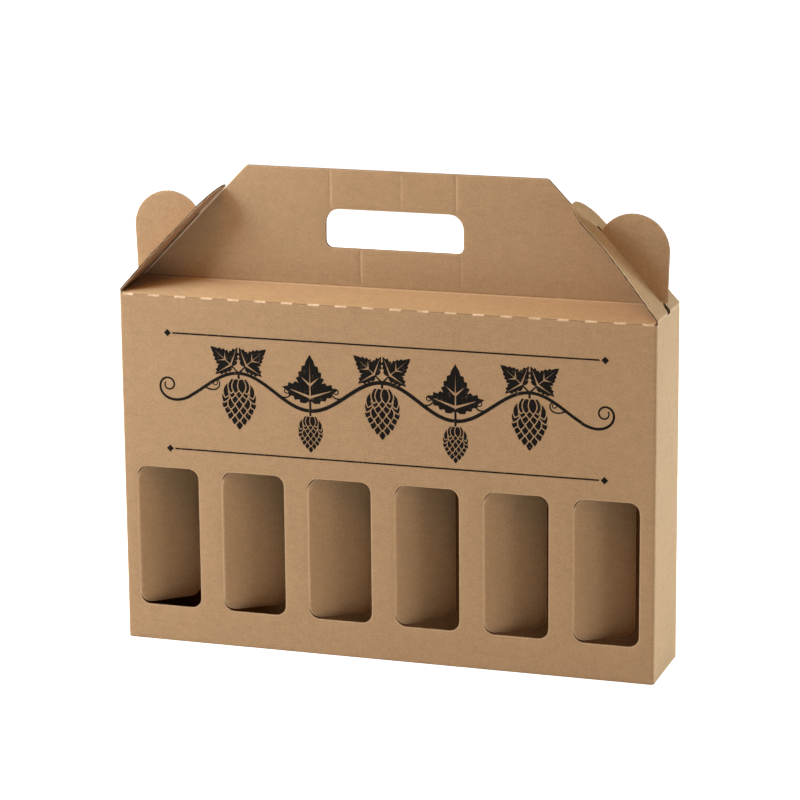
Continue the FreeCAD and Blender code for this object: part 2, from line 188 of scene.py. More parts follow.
def inside(points, loops):
    """Which points lie within the first loop and outside the others."""
    within = np.zeros(len(points), bool)
    for loop in loops:
        a = np.array(loop)
        b = np.roll(a, -1, 0)
        for some in np.array_split(np.arange(len(points)), 1 + len(points) // 4000):
            across, up = points[some, 0, None], points[some, 1, None]
            spans = (a[:, 1] > up) != (b[:, 1] > up)
            rise = np.where(b[:, 1] == a[:, 1], 1, b[:, 1] - a[:, 1])
            left = across < a[:, 0] + (up - a[:, 1]) * (b[:, 0] - a[:, 0]) / rise
            within[some] ^= (spans & left).sum(1) % 2 == 1
    return within


def set_in(loop, distance):
    """The same closed line, moved to its left."""
    line = np.array(loop)
    run = np.roll(line, -1, 0) - line
    run /= np.maximum(np.linalg.norm(run, axis=1), 1e-12)[:, None]
    left = np.stack([-run[:, 1], run[:, 0]], 1)
    both = left + np.roll(left, 1, 0)
    both /= np.maximum((both**2).sum(1), 0.8)[:, None] / 2
    return [tuple(spot) for spot in line + distance * both]


def add_line(points, lines, line, closed=True):
    """Put a line among those that a flat sheet is cut along."""
    first, count = len(points), len(line)
    points += line
    lines += [(first + n, first + (n + 1) % count) for n in range(count if closed else count - 1)]


def cut_flat(points, lines, wanted):
    """The wanted triangles between these lines, each facing up, and the sides along their rim."""
    spots, _, faces, *_ = geometry.delaunay_2d_cdt([Vector(p) for p in points], lines, [], 0, 1e-7)
    spots, faces = np.array(spots, float), np.array(faces)
    used, faces = np.unique(faces[wanted(spots[faces].mean(1))], return_inverse=True)
    spots, faces = spots[used], faces.reshape(-1, 3)
    a, b, c = (spots[faces[:, k]] for k in range(3))
    flipped = (b - a)[:, 0] * (c - a)[:, 1] < (b - a)[:, 1] * (c - a)[:, 0]
    faces[flipped] = faces[flipped][:, ::-1]
    sides = np.concatenate([faces[:, [0, 1]], faces[:, [1, 2]], faces[:, [2, 0]]])
    known = set(map(tuple, sides))
    return spots, faces, np.array([side for side in map(tuple, sides) if side[::-1] not in known])


def new_piece(name, corners, polygons, sheet):
    """An object whose points remember their place on the flat sheet, which its materials read."""
    mesh = bpy.data.meshes.new(name)
    mesh.from_pydata(corners.tolist(), [], polygons)
    place = mesh.attributes.new("sheet", "FLOAT_VECTOR", "POINT")
    place.data.foreach_set("vector", sheet.astype(np.float32).ravel())
    mesh.update()
    piece = bpy.data.objects.new(name, mesh)
    bpy.context.scene.collection.objects.link(piece)
    return piece


def cut_board(name, outline, holes, creases, place, spacing=0.008, worn_and_lit=(), inner_to=math.inf):
    """Board die-cut to an outline, with holes and crease lines, given its thickness and folded by place.
    The knife pinches both liners at every cut edge and frays them, and they stand a hair proud of the
    fluting; the pale rim painted there is partly the frayed fibres' colour and partly a painted highlight.
    A line listed in the last argument (start, end, times) is painted paler still, as torn fibres and a
    painted highlight on a lit edge, or is a pale painted line where times is under 1.
    The materials are the outside's, the cut edge's and, as far up the sheet as inner_to, the inside's."""
    loops = [divided(loop, spacing) for loop in [outline, *holes]]
    points, lines = [], []
    rings = []
    for number, loop in enumerate(loops):
        area = sum(a[0] * b[1] - a[1] * b[0] for a, b in zip(loop, loop[1:] + loop[:1])) / 2
        if abs(area) > smallest_rimmed:
            rings.append(set_in(loop, rim_band_width * (1 if (area > 0) == (number == 0) else -1)))
    for loop in loops + rings:
        add_line(points, lines, loop)
    for crease in creases:
        add_line(points, lines, divided(list(crease), spacing, closed=False), closed=False)
    low, high = np.min(loops[0], 0), np.max(loops[0], 0)
    across, up = np.meshgrid(*[np.arange(low[k] + spacing / 2, high[k], spacing) for k in (0, 1)])
    across = across + np.where(np.arange(len(across)) % 2, spacing / 2, 0)[:, None]
    grid = np.stack([across.ravel(), up.ravel()], 1)
    grid = grid[inside(grid, loops)]
    taken = np.array(points)
    clear = [np.abs(taken - spot).max(1).min() > spacing * 0.3 for spot in grid]
    points += [tuple(spot) for spot in grid[np.array(clear, bool)]] if len(grid) else []
    spots, faces, rim = cut_flat(points, lines, lambda middles: inside(middles, loops))

    inward = np.zeros_like(spots)
    run = spots[rim[:, 1]] - spots[rim[:, 0]]
    run /= np.linalg.norm(run, axis=1)[:, None]
    for end in (0, 1):
        np.add.at(inward, rim[:, end], np.stack([-run[:, 1], run[:, 0]], 1))
    edge = np.unique(rim)
    inward[edge] /= np.maximum(np.linalg.norm(inward[edge], axis=1), 1e-9)[:, None]
    frayed_and_lit = np.zeros(len(spots))
    frayed_and_lit[edge] = 1
    for loop in loops[1:]:
        low, high = np.min(loop, 0) - 1e-6, np.max(loop, 0) + 1e-6
        if (high - low).min() < rim_band_width:
            frayed_and_lit[((spots > low) & (spots < high)).all(1)] = 0
    for start, end, times in worn_and_lit:
        run = np.array(end) - start
        share = np.clip((spots - start) @ run / (run @ run), 0, 1)
        close = np.linalg.norm(spots - start - share[:, None] * run, axis=1) < line_reach
        frayed_and_lit[close & ((frayed_and_lit > 0) | (times < 1))] = times

    count = len(spots)
    lip = liner + liner_lip
    depths = [(liner, 0), (lip, edge_recess), (board - lip, edge_recess), (board - liner, 0)]
    pinched = pinch * np.minimum(frayed_and_lit, 1)
    sheet = [np.c_[spots, pinched], np.c_[spots, board - pinched]]
    rows = [np.arange(count)]
    for number, (depth, recess) in enumerate(depths):
        depth = depth + pinched[edge] * (1 if number < 2 else -1)
        sheet.append(np.c_[spots[edge] + recess * inward[edge], depth])
        row = np.zeros(count, int)
        row[edge] = 2 * count + number * len(edge) + np.arange(len(edge))
        rows.append(row)
    rows.append(np.arange(count) + count)
    sheet = np.concatenate(sheet)
    polygons = faces.tolist() + (faces[:, ::-1] + count).tolist()
    for upper, lower in zip(rows, rows[1:]):
        band = [lower[rim[:, 0]], lower[rim[:, 1]], upper[rim[:, 1]], upper[rim[:, 0]]]
        polygons += np.stack(band, 1).tolist()
    made = new_piece(name, place(*sheet.T), polygons, sheet)
    mesh = made.data
    fray_and_highlight = np.concatenate([frayed_and_lit, frayed_and_lit, np.ones(4 * len(edge))])
    mesh.attributes.new("fray_and_highlight", "FLOAT", "POINT").data.foreach_set("value", fray_and_highlight.astype(np.float32))
    inner = spots[faces].mean(1)[:, 1] < inner_to
    kinds = np.concatenate([np.zeros(len(faces)), 2 * inner, np.ones(len(polygons) - 2 * len(faces))])
    mesh.polygons.foreach_set("material_index", kinds.astype(np.int32))
    mesh.shade_smooth()
    mesh.set_sharp_from_angle(angle=math.radians(35))
    return made


# Seen from outside, the blank runs from the left end panel's free edge round to the glue lap.
# Across is measured from the middle of the front, and up from the floor.
corner = bend(90, fold_round)
front_half = half_length - fold_round
end_half = half_depth - fold_round
free_edge = half_depth - 0.0004
lap_fold = half_length - board - fold_round - 0.00005
lap_edge = 0.0035
front_left = -front_half
left_start = front_left - corner[0] - end_half - free_edge
back_middle = 2 * front_half + 2 * corner[0] + 2 * end_half
walls = FoldLine(
    (-half_length, free_edge), -90,
    [(end_half + free_edge, 0), corner, (2 * front_half, 0), corner, (2 * end_half, 0), corner,
     (front_half + lap_fold, 0), corner, (end_half - lap_edge, 0)],
    left_start,
)


# Each says how far across the blank a place on that wall lies, from its own x or y.
def on_front(x):
    return x


def on_left(y):
    return front_left - corner[0] - (y + end_half)


def on_right(y):
    return front_half + corner[0] + (y + end_half)


def on_back(x):
    return back_middle - x


def on_lap(y):
    return on_back(-lap_fold) + corner[0] + (end_half - y)


# Seen from the end, a wall goes up from the floor fold, over the top fold, up the roof and up the handle.
bottom_run = 0.034
roof_run = half_depth - ply_outside
roof_turn = 90 - math.degrees(math.atan2(handle_fold - fold_height, roof_run))
top_tangent = math.tan(math.radians(roof_turn / 2))
top_fold = bend(roof_turn, fold_round)
handle_crease = bend(-roof_turn, handle_crease_round)
wall_top = fold_height - fold_round * top_tangent
roof_slope = math.hypot(roof_run, handle_fold - fold_height)
roof_length = roof_slope - (fold_round + handle_crease_round) * top_tangent
floor_fold = bend(90, floor_round)
floor_end = floor_round - floor_fold[0]
rise = FoldLine(
    (-bottom_run, 0), 0,
    [(bottom_run - floor_round, 0), floor_fold, (wall_top - floor_round, 0), top_fold, (roof_length, 0),
     handle_crease, (onward, 0)],
    floor_end - bottom_run + floor_round,
)
roof_start = wall_top + top_fold[0]
roof_end = roof_start + roof_length
ply_start = roof_end + handle_crease[0]
ply_foot = handle_fold + handle_crease_round * top_tangent

# An end's bottom flap lies on top of the front's and the back's, so it steps up by the board's thickness.
end_bottom_run = 0.0665
dip = 14
dip_round = 0.006
dip_bend = bend(dip, dip_round)
dip_run = (board - 2 * dip_round * (1 - math.cos(dip_bend[1]))) / math.sin(dip_bend[1])
dip_reach = 2 * dip_round * math.sin(dip_bend[1]) + dip_run * math.cos(dip_bend[1])
end_flap_run = end_bottom_run - floor_round - dip_reach
dip_start = floor_end - 2 * dip_bend[0] - dip_run
end_rise = FoldLine(
    (-end_bottom_run, board), 0,
    [(end_flap_run, 0), bend(-dip, dip_round), (dip_run, 0), dip_bend, floor_fold, (onward, 0)],
    dip_start - end_flap_run,
)


def on_ply(z):
    return ply_start + z - ply_foot


def pressed(across, up):
    """How deep the front ply is dented where the folding machine's belts ran over it."""
    dent = np.zeros_like(across)
    for x, low, high, deep in press_marks:
        profile = np.interp(across - x, *zip(*mark_profile))
        dent += deep * profile * np.clip((up - low) / mark_end, 0, 1) * np.clip((high - up) / mark_end, 0, 1)
    return dent


def fold_carton(across, up, depth):
    """The flat blank's points, folded into the carton. depth is how far they lie below the outer face.
    Past the walls' own folds, the front's and the back's panels stay flat over their full width."""
    depth = depth + pressed(across, up)
    spots, facing = walls.at(across)
    reach = half_length + 0.0003
    from_back = np.abs(across - back_middle)
    in_corner = (np.abs(across) > front_half - 0.0002) & (from_back > front_half - 0.0002)
    past_wall = (up < 0) | ((up > wall_top) & ~(in_corner & (up < notch_up + 0.0001)))
    front = (np.abs(across) < reach) & past_wall
    back = (from_back < reach) & past_wall
    spots[front] = np.stack([across, np.full_like(across, -half_depth)], 1)[front]
    facing[front] = (0, -1)
    spots[back] = np.stack([back_middle - across, np.full_like(across, half_depth)], 1)[back]
    facing[back] = (0, 1)
    profile, normal = rise.at(up)
    plain = ~(front | back) & ((up > wall_top) | (up < floor_round))
    sides = np.abs(across) < front_half - 0.00005
    sides |= np.abs(across - on_back(0.00072)) < front_half - 0.00078
    plain &= ~(sides & (up < floor_round))
    from_end = np.minimum(np.abs(across - on_right(0)), np.abs(across - on_left(0)))
    ends = (from_end < end_bottom_half + 0.0002) & (up < floor_round)
    profile[plain] = np.stack([np.zeros_like(up), up], 1)[plain]
    normal[plain] = (1, 0)
    end_profile, end_normal = end_rise.at(up)
    profile[ends], normal[ends] = end_profile[ends], end_normal[ends]
    out = profile[:, :1] - depth[:, None] * normal[:, :1]
    height = profile[:, 1] - depth * normal[:, 1]
    return np.c_[spots + facing * out, height]


# The bottom: the four corners reach almost to the floor, with a narrow cut beside each bottom flap.
foot = 0.0004
relief = floor_round + 0.0003
corner_cut = 0.0001
flap_half = half_length - 0.0021
flap_narrow = 0.1962
flap_step = floor_end - 0.00425
flap_wide = half_length - board - 0.00015
lap_side = flap_wide - board
back_left = lap_fold - 0.0004
end_bottom_half = 0.029
end_bottom_taper = 0.003
end_bottom_round = 0.006
end_bottom_low = dip_start - 0.055
end_panel_foot = 0.0002
end_cut = 0.00015


def end_bottom(at, way):
    """The outline of an end panel's bottom flap, going along the panel."""
    half, tip = end_bottom_half, end_bottom_half - end_bottom_taper
    return [
        (at(-way * (half + end_cut)), end_panel_foot), (at(-way * (half + end_cut)), relief),
        (at(-way * half), relief), (at(-way * tip), end_bottom_low, end_bottom_round),
        (at(way * tip), end_bottom_low, end_bottom_round), (at(way * half), relief),
        (at(way * (half + end_cut)), relief), (at(way * (half + end_cut)), end_panel_foot),
    ]


def bottom_edge(at, near, far):
    """A bottom flap's side, from the wall round the floor fold to the step: close beside the end panel."""
    side = [(at(near), relief)] + [(at(near), floor_round - floor_fold[0] * step / 6) for step in range(7)]
    return side + [(at(far), floor_end - 0.0006), (at(far), flap_step), (at(flap_narrow), flap_step - 0.0002)]


# The front's and the back's bottom flaps meet near the middle, along a seam that steps aside half way.
seam_step = 0.009
seam_half = 0.0004
seam_link = 0.024
seam_front = floor_end - (half_depth - floor_round - seam_step - seam_half)
seam_back = floor_end - (half_depth - floor_round + seam_step - seam_half)
cut_side = front_half + corner_cut
lap_cut = on_back(-lap_fold) + corner_cut
front_bottom = [
    (-cut_side, foot), (-cut_side, relief), *bottom_edge(lambda x: -x, flap_half, flap_wide),
    (-flap_narrow, seam_back), (-seam_link, seam_back), (seam_link, seam_front), (flap_narrow, seam_front),
    *bottom_edge(on_front, flap_half, flap_wide)[::-1], (cut_side, relief), (cut_side, foot),
]
back_bottom = [
    (on_back(cut_side), foot), (on_back(cut_side), relief), *bottom_edge(on_back, flap_half, flap_wide),
    (on_back(flap_narrow), seam_back), (on_back(seam_link), seam_back),
    (on_back(-seam_link), seam_front), (on_back(-flap_narrow), seam_front),
    *bottom_edge(lambda x: on_back(-x), back_left, lap_side)[::-1], (lap_cut, relief), (lap_cut, foot),
]

# The glue lap goes on from the back, round the left corner, and is stuck inside the left end panel.
notch_up = wall_top + 0.0009
lap_low, lap_high = 0.006, 0.261
lap_slant = 0.015
lap_round = 0.004
glue_lap = [
    (on_lap(end_half) - 0.0004, foot), (on_lap(end_half) - 0.0002, lap_low),
    (on_lap(lap_edge), lap_low + lap_slant, lap_round), (on_lap(lap_edge), lap_high - lap_slant, lap_round),
    (on_lap(end_half) - 0.0002, lap_high), (on_lap(end_half) - 0.0004, notch_up),
]

# The back ply carries an ear at each end: an upright post with a round head beside the sloping shoulder.
# They part in a valley, where the shoulder's slope crosses the circle of the head.
roof_foot = half_length - 0.0011
roof_head = half_length - 0.007
shoulder = half_length - 0.090
ear_radius = 0.027
ear_middle = half_length - ear_radius
ear_height = 0.314
ear_foot = half_length - 0.0012
slope = np.array([shoulder - roof_head, handle_top - handle_fold])
to_ear = np.array([roof_head - ear_middle, handle_fold - ear_height])
a2, a1, a0 = slope @ slope, 2 * slope @ to_ear, to_ear @ to_ear - ear_radius**2
meets = (-a1 + math.sqrt(a1 * a1 - 4 * a2 * a0)) / (2 * a2)
valley = np.array([roof_head, handle_fold]) + meets * slope
valley_turn = math.atan2(valley[1] - ear_height, valley[0] - ear_middle)
ear = [(half_length, ear_height)] + [
    (ear_middle + ear_radius * math.cos(turn), ear_height + ear_radius * math.sin(turn))
    for turn in np.linspace(0, valley_turn, 26)[1:]
]


def roof_side(at, sign, edge):
    """Where a roof panel ends: past the relief notch in the corner, then narrowing towards the handle."""
    return [
        (at(sign * edge), notch_up), (at(sign * edge), wall_top + 0.0027),
        (at(sign * roof_foot), wall_top + 0.0034), (at(sign * roof_head), roof_end),
    ]


roof_edge = front_half - 0.0003
left_round, right_round = 0.0035, 0.005
ply_low = on_ply(handle_fold + 0.001)
ear_low = on_ply(handle_fold + 0.0006)
ply_top = on_ply(handle_top)
front_top = roof_side(on_front, 1, roof_edge)
front_top += [(roof_head, ply_low), (shoulder, ply_top, right_round)]
front_top += [(-shoulder, ply_top, left_round), (-roof_head, ply_low)]
front_top += roof_side(on_front, -1, roof_edge)[::-1]

back_top = roof_side(on_back, -1, back_left)
back_top += [(on_back(-roof_head), ear_low), (on_back(-ear_foot), ear_low, 0.001)]
back_top += [(on_back(-x), on_ply(z)) for x, z in ear]
back_top += [(on_back(-shoulder), ply_top, left_round), (on_back(shoulder), ply_top, right_round)]
back_top += [(on_back(x), on_ply(z)) for x, z in ear[::-1]]
back_top += [(on_back(ear_foot), ear_low, 0.001), (on_back(roof_head), ear_low)]
back_top += roof_side(on_back, 1, roof_edge)[::-1]

# An end panel rises past the roof to the end flap's crease, with a notch under the flap's slit.
end_top = 0.27015
end_notch = end_top - 0.0010
slit_front = -0.0001
slit_back = 0.0035
slot_front = slit_front - 0.0042
slot_back = slit_back + 0.0004


def end_panel_top(at, way):
    first, last = (slot_back, slot_front) if way > 0 else (slot_front, slot_back)
    return [
        (at(way * end_half), notch_up), (at(way * end_half), end_top),
        (at(first), end_top), (at(first), end_notch), (at(last), end_notch), (at(last), end_top),
        (at(-way * end_half), end_top), (at(-way * end_half), notch_up),
    ]


blank = [(left_start, foot), *end_bottom(on_left, -1), *front_bottom, *end_bottom(on_right, 1)]
blank += [*back_bottom, *glue_lap, *back_top, *end_panel_top(on_right, 1), *front_top]
blank += [*end_panel_top(on_left, -1)[:-2], (left_start, end_top)]


def rounded_box(left, right, low, high, radii):
    """A box with its corners rounded, from the lower left one on by way of the right."""
    places = ((left, low), (right, low), (right, high), (left, high))
    return rounded([(*place, radius) for place, radius in zip(places, radii)], 9)


first_window = -0.1953
window_pitch = 0.0681
window_left = [first_window + window_pitch * number for number in range(6)]
window_width = 0.0493
window_low, window_high = 0.0278, 0.1363
window_round = 0.008
grip_left, grip_right = -0.054, 0.0525
grip_low, grip_high = 0.3048, 0.3339
grip_rounds = (0.0055, 0.0055, 0.011, 0.011)
holes = []
for left in window_left:
    holes.append(rounded_box(left, left + window_width, window_low, window_high, [window_round] * 4))
holes.append(rounded_box(grip_left, grip_right, on_ply(grip_low), on_ply(grip_high), grip_rounds))
holes.append(rounded_box(
    on_back(grip_right), on_back(grip_left), on_ply(grip_low), on_ply(grip_high), grip_rounds,
))

# The top folds are perforated, so that the heavy roof bends sharply.
cut_pitch = 0.021
cut_length = 0.0122
cut_half = 0.00015
cut_point = 0.0003
cut_up = wall_top + 0.0011
for at in (on_front, on_back):
    for number in range(-9, 10):
        left = at(number * cut_pitch) - cut_length / 2
        right = at(number * cut_pitch) + cut_length / 2
        holes.append([
            (left, cut_up), (left + cut_point, cut_up - cut_half), (right - cut_point, cut_up - cut_half),
            (right, cut_up), (right - cut_point, cut_up + cut_half), (left + cut_point, cut_up + cut_half),
        ])


def crease_lines(start, length, low, high, steps, upright=False):
    """Lines side by side over one bend of the sheet, each going from low to high."""
    places = [start + length * step / steps for step in range(steps + 1)]
    return [[(place, low), (place, high)] if upright else [(low, place), (high, place)] for place in places]


creases = []
for start in (front_left - corner[0], front_half, on_back(front_half) - corner[0]):
    creases += crease_lines(start, corner[0], foot + 0.0003, notch_up - 0.0002, 8, upright=True)
creases += crease_lines(on_back(-lap_fold), corner[0], lap_low + 0.0005, lap_high - 0.0005, 8, upright=True)
for at, first, last in ((on_front, -front_half, front_half), (on_back, front_half, -back_left)):
    roof_first, roof_last = first * roof_head / front_half, last * roof_head / front_half
    creases += crease_lines(wall_top, top_fold[0], at(first) + 0.0004, at(last) - 0.0004, 10)
    creases += crease_lines(roof_end, handle_crease[0], at(roof_first) + 0.0002, at(roof_last) - 0.0002, 4)
    creases += crease_lines(floor_round, -floor_fold[0], at(first) + 0.0006, at(last) - 0.0006, 6)
for at, way in ((on_left, -1), (on_right, 1)):
    half, tip = way * (end_bottom_half - 0.0006), way * (end_bottom_half - end_bottom_taper)
    creases += crease_lines(floor_round, -floor_fold[0], at(-half), at(half), 6)
    for start in (dip_start, dip_start + dip_bend[0] + dip_run):
        creases += crease_lines(start, dip_bend[0], at(-tip), at(tip), 3)

# The front ply's shoulders, where the end flaps lie over them, are painted with a torn pale rim; on the left
# it is strong: torn fibres and a painted highlight on the cut edge lit in the flap's shadow.
worn_and_lit_lines = [
    ((side * roof_head, ply_low), (side * shoulder, ply_top), times) for side, times in ((-1, 7.0), (1, 1.2))
]

# The folding machine's belts dent the front ply above and below its hole, and a pale line is painted just
# beside each dent's deepest line: a painted highlight on the dent's side that faces the light.
# A mark is (across, from, to, depth), and its profile is (aside, share of that depth).
mark_profile = ((-0.0024, 0.0), (-0.0009, 0.25), (-0.0001, 1.0), (0.0007, 0.2), (0.0026, 0.0))
mark_end = 0.002
highlight_aside = 0.0007
full_highlight, full_depth = 0.85, 0.00025
above_grip = (on_ply(grip_high) - 0.004, ply_top + 0.003)
below_grip = (on_ply(ply_foot), on_ply(grip_low) + 0.004)
press_marks = [
    (-0.0503, *above_grip, 0.00021), (0.0043, *above_grip, 0.00013), (0.0467, *above_grip, 0.00019),
    (-0.0272, *below_grip, 0.00023), (0.0502, below_grip[0] + 0.006, below_grip[1], 0.00010),
]
for x, _, high, deep in press_marks:
    above = high > on_ply(grip_high)
    low, high = (grip_high + 0.0006, handle_top - 0.0003) if above else (ply_foot + 0.0005, grip_low - 0.0004)
    for aside, _ in mark_profile:
        creases.append([(x + aside, on_ply(low)), (x + aside, on_ply(high))])
    low, high = (grip_high + 0.0016, handle_top - 0.0012) if above else (ply_foot + 0.0015, grip_low - 0.0014)
    highlight_line = x + highlight_aside
    worn_and_lit_lines.append(((highlight_line, on_ply(low)), (highlight_line, on_ply(high)), min(full_highlight, deep / full_depth)))

carton = cut_board(
    "carton_board", rounded(blank, 6), holes, creases, fold_carton, worn_and_lit=worn_and_lit_lines, inner_to=fold_height,
)
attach(carton, "carton")
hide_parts("carton")


def node_group(name, inputs, outputs):
    """An empty shader node group with named inputs, given with their defaults, and named outputs."""
    group = bpy.data.node_groups.new(name, "ShaderNodeTree")
    for socket, kind, default in inputs:
        made = group.interface.new_socket(name=socket, in_out="INPUT", socket_type=f"NodeSocket{kind}")
        made.default_value = default
    for socket, kind in outputs:
        group.interface.new_socket(name=socket, in_out="OUTPUT", socket_type=f"NodeSocket{kind}")
    return group, group.nodes.new("NodeGroupInput"), group.nodes.new("NodeGroupOutput")


def sums_in(tree):
    """What adds a Math node to this tree: its inputs are numbers or sockets, and it gives its output."""
    def calc(operation, first, second=None, third=None, clamp=False):
        node = tree.nodes.new("ShaderNodeMath")
        node.operation = operation
        node.use_clamp = clamp
        for socket, value in zip(node.inputs, (first, second, third)):
            if isinstance(value, (int, float)):
                socket.default_value = value
            elif value is not None:
                tree.links.new(value, socket)
        return node.outputs[0]
    return calc


def stored(tree, name):
    """What the mesh's points remember under this name."""
    node = tree.nodes.new("ShaderNodeAttribute")
    node.attribute_name = name
    return node.outputs


def on_sheet(tree):
    """A point's place on the flat sheet, and then how far across, up and deep that is."""
    place = stored(tree, "sheet")["Vector"]
    split = tree.nodes.new("ShaderNodeSeparateXYZ")
    tree.links.new(place, split.inputs[0])
    return [place, *split.outputs]


def noise_node(tree, place, scale, detail, roughness, stretch=None):
    """Noise over the sheet, drawn out along it where stretch says so."""
    if stretch:
        node = tree.nodes.new("ShaderNodeVectorMath")
        node.operation = "MULTIPLY"
        tree.links.new(place, node.inputs[0])
        node.inputs[1].default_value = stretch
        place = node.outputs[0]
    node = tree.nodes.new("ShaderNodeTexNoise")
    node.inputs["Scale"].default_value = scale
    node.inputs["Detail"].default_value = detail
    node.inputs["Roughness"].default_value = roughness
    tree.links.new(place, node.inputs["Vector"])
    return node.outputs["Fac"]


def shaded(tree, colour, factor):
    """A colour made lighter or darker by a factor that varies over the surface."""
    node = tree.nodes.new("ShaderNodeVectorMath")
    node.operation = "SCALE"
    tree.links.new(colour, node.inputs[0])
    tree.links.new(factor, node.inputs["Scale"])
    return node.outputs[0]


def mixed(tree, factor, first, second):
    """One colour over another, where factor says."""
    node = tree.nodes.new("ShaderNodeMix")
    node.data_type = "RGBA"
    for number, value in ((0, factor), (6, first), (7, second)):
        tree.links.new(value, node.inputs[number])
    return node.outputs[2]


# Kraft liner: brown paper with short fibres lying across the flutes, mottled where the pulp is thicker
# or thinner, with a few dark flecks. The flutes behind it show only as the faintest upright bands: in the
# bump, and in the colour as faint painted shade of their ripple.
flute_pitch = 0.0032
kraft_paper, asked, given = node_group(
    "kraft_paper",
    [("Tone", "Color", (0.5, 0.32, 0.18, 1)), ("Cloud", "Float", 0.10), ("Mottle", "Float", 0.28),
     ("Fibre", "Float", 0.52), ("Flute Bands", "Float", 0.004), ("Flecks", "Float", 0.18)],
    [("Color", "Color"), ("Height", "Float"), ("Roughness", "Float")],
)
calc = sums_in(kraft_paper)
place, across, *_ = on_sheet(kraft_paper)
clouds = noise_node(kraft_paper, place, 30, 3, 0.55)
mottle = noise_node(kraft_paper, place, 190, 3, 0.65, (0.7, 1.0, 1.0))
fibres = noise_node(kraft_paper, place, 780, 3, 0.7, (0.55, 1.0, 1.0))
grains = noise_node(kraft_paper, place, 1150, 2, 0.6)
flecks = noise_node(kraft_paper, place, 640, 1, 0.5, (0.6, 1.3, 1.0))
flecks = calc("MULTIPLY", calc("SUBTRACT", flecks, 0.71, clamp=True), 12.0, clamp=True)
wobble = noise_node(kraft_paper, place, 25, 1, 0.5)
flutes = calc("SINE", calc("MULTIPLY_ADD", across, 2 * math.pi / flute_pitch, wobble))
factor = 1.0
for pattern, share in ((clouds, "Cloud"), (mottle, "Mottle"), (fibres, "Fibre"), (grains, "Fibre")):
    factor = calc("MULTIPLY_ADD", calc("SUBTRACT", pattern, 0.5), asked.outputs[share], factor)
factor = calc("MULTIPLY_ADD", flutes, asked.outputs["Flute Bands"], factor)
factor = calc("SUBTRACT", factor, calc("MULTIPLY", flecks, asked.outputs["Flecks"]))
kraft_paper.links.new(shaded(kraft_paper, asked.outputs["Tone"], factor), given.inputs["Color"])
height = calc("MULTIPLY_ADD", flutes, 0.06, calc("MULTIPLY", fibres, 0.7))
height = calc("MULTIPLY_ADD", mottle, 0.9, height)
kraft_paper.links.new(calc("MULTIPLY_ADD", grains, 0.35, height), given.inputs["Height"])
kraft_paper.links.new(calc("MULTIPLY_ADD", fibres, 0.12, 0.74), given.inputs["Roughness"])

# At a cut edge the knife lifts the liner's fibres, and a thin pale rim is painted along it: partly the lifted
# fibres' own colour, partly a painted highlight for light caught by the edge.
# Where an edge is torn further it is painted paler still: the board's pale inner fibres, and a painted
# highlight on a lit cut edge.
cut_rim, asked, given = node_group(
    "cut_rim",
    [("Color", "Color", (0.5, 0.32, 0.18, 1)), ("Rim Tone", "Color", (0.7, 0.5, 0.33, 1)),
     ("Amount", "Float", 0.6), ("Torn And Lit Tone", "Color", (1.0, 0.90, 0.75, 1))],
    [("Color", "Color")],
)
calc = sums_in(cut_rim)
fray_and_highlight = stored(cut_rim, "fray_and_highlight")["Fac"]
tufts = noise_node(cut_rim, stored(cut_rim, "sheet")["Vector"], 520, 2, 0.7)
tufts = calc("MULTIPLY_ADD", tufts, 2.2, -0.35, clamp=True)
lifted_and_lit = calc("MULTIPLY", calc("MULTIPLY", fray_and_highlight, tufts), asked.outputs["Amount"], clamp=True)
rim_colour = mixed(cut_rim, lifted_and_lit, asked.outputs["Color"], asked.outputs["Rim Tone"])
torn_and_lit = calc("MULTIPLY", calc("SUBTRACT", fray_and_highlight, 1.0), 0.7, clamp=True)
torn_and_lit = calc("MULTIPLY", torn_and_lit, calc("MULTIPLY_ADD", tufts, 0.6, 0.4))
cut_rim.links.new(mixed(cut_rim, torn_and_lit, rim_colour, asked.outputs["Torn And Lit Tone"]), given.inputs["Color"])

# A crease line: a narrow band painted paler or darker, between the short cuts of a perforation where there is
# one.
# Where it is paler it is partly rubbed paper and partly a painted highlight on the crease's bulge; where it
# is darker it is painted shade in the crease.
# Middle and Reach say how far along the sheet the crease runs.
crease_line, asked, given = node_group(
    "crease_line",
    [("Color", "Color", (0.5, 0.32, 0.18, 1)), ("Line Tone", "Color", (0.7, 0.5, 0.33, 1)),
     ("Amount", "Float", 0.7), ("Level", "Float", 0.0), ("Half Width", "Float", 0.001),
     ("Middle", "Float", 0.0), ("Reach", "Float", 0.2), ("Cut Share", "Float", 0.0)],
    [("Color", "Color")],
)
calc = sums_in(crease_line)
place, across, up, _ = on_sheet(crease_line)
wander = calc("SUBTRACT", noise_node(crease_line, place, 330, 2, 0.6), 0.5)
level = calc("MULTIPLY_ADD", wander, 0.0011, asked.outputs["Level"])
away = calc("DIVIDE", calc("ABSOLUTE", calc("SUBTRACT", up, level)), asked.outputs["Half Width"])
near = calc("MULTIPLY", calc("SUBTRACT", 1.0, away, clamp=True), 1.8, clamp=True)
patches = calc("MULTIPLY_ADD", noise_node(crease_line, place, 120, 3, 0.65), 2.4, -0.45, clamp=True)
along = calc("SUBTRACT", across, asked.outputs["Middle"])
on_line = calc("LESS_THAN", calc("ABSOLUTE", along), asked.outputs["Reach"])
turns = calc("ADD", calc("DIVIDE", along, cut_pitch), 0.5)
from_cut = calc("ABSOLUTE", calc("SUBTRACT", calc("FRACT", turns), 0.5))
bridge = calc("SUBTRACT", from_cut, calc("MULTIPLY", asked.outputs["Cut Share"], 0.5))
bridge = calc("MULTIPLY_ADD", bridge, 60.0, 0.5, clamp=True)
mask = calc("MULTIPLY", calc("MULTIPLY", near, bridge), on_line)
share = calc("MULTIPLY", calc("MULTIPLY", mask, patches), asked.outputs["Amount"], clamp=True)
